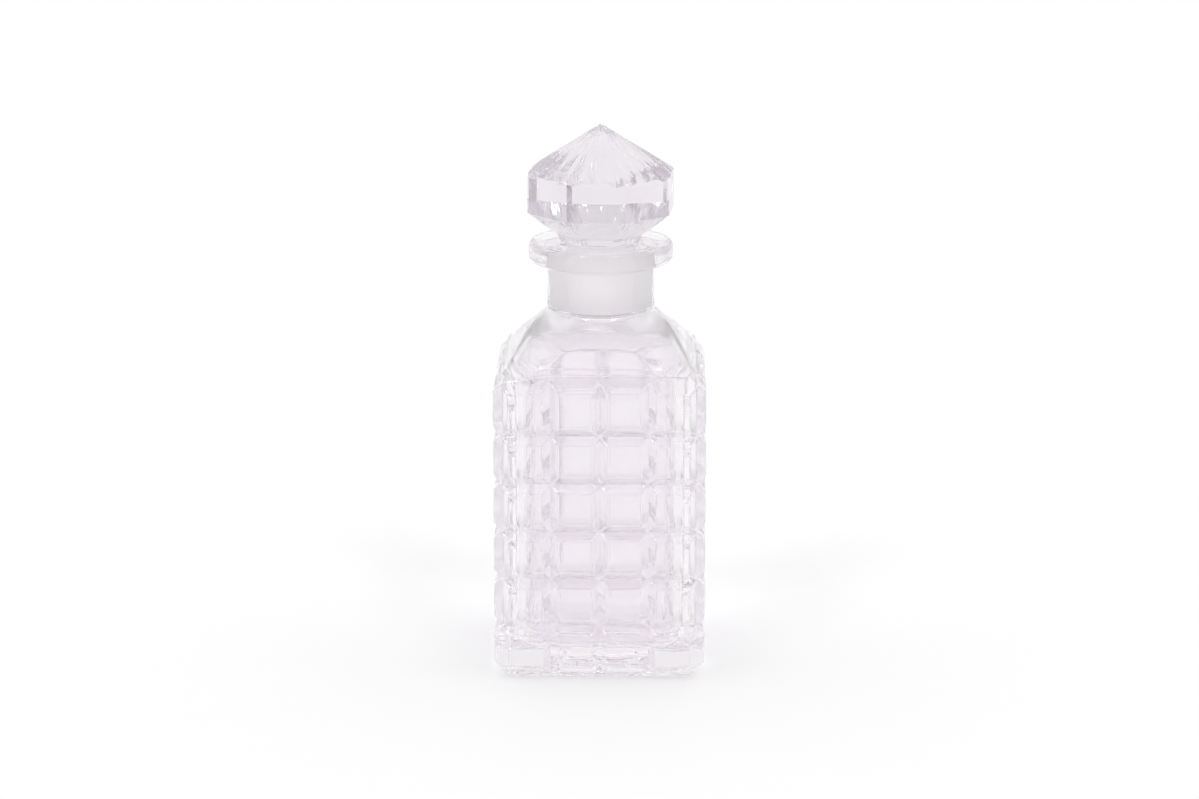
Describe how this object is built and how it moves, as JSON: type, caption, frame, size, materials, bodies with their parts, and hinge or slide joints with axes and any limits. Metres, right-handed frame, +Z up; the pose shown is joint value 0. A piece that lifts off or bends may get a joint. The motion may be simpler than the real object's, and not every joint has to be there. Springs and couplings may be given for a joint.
{
  "type": "cut glass decanter",
  "caption": "Square glass decanter with a block-cut pattern on its sides, round neck and flange, and a faceted lift-out stopper.",
  "frame": {"origin": "on the surface it stands on, under the centre of the bottle", "axes": "+Z up along the axis of the bottle, -Y towards the front side, +X to the right seen from the front"},
  "size_m": [0.0872, 0.0872, 0.2259],
  "materials": {
    "bottle_glass": "polished, ground in the bore",
    "stopper_glass": "polished facets, ground peg"
  },
  "bodies": {
    "decanter": {"decanter_body": "bottle_glass"},
    "stopper": {"stopper": "stopper_glass"}
  },
  "joints": [
    {"name": "stopper_lift", "type": "slide", "parent": "decanter", "child": "stopper", "axis": [0, 0, 1], "range_m": [0, 0.05]}
  ]
}
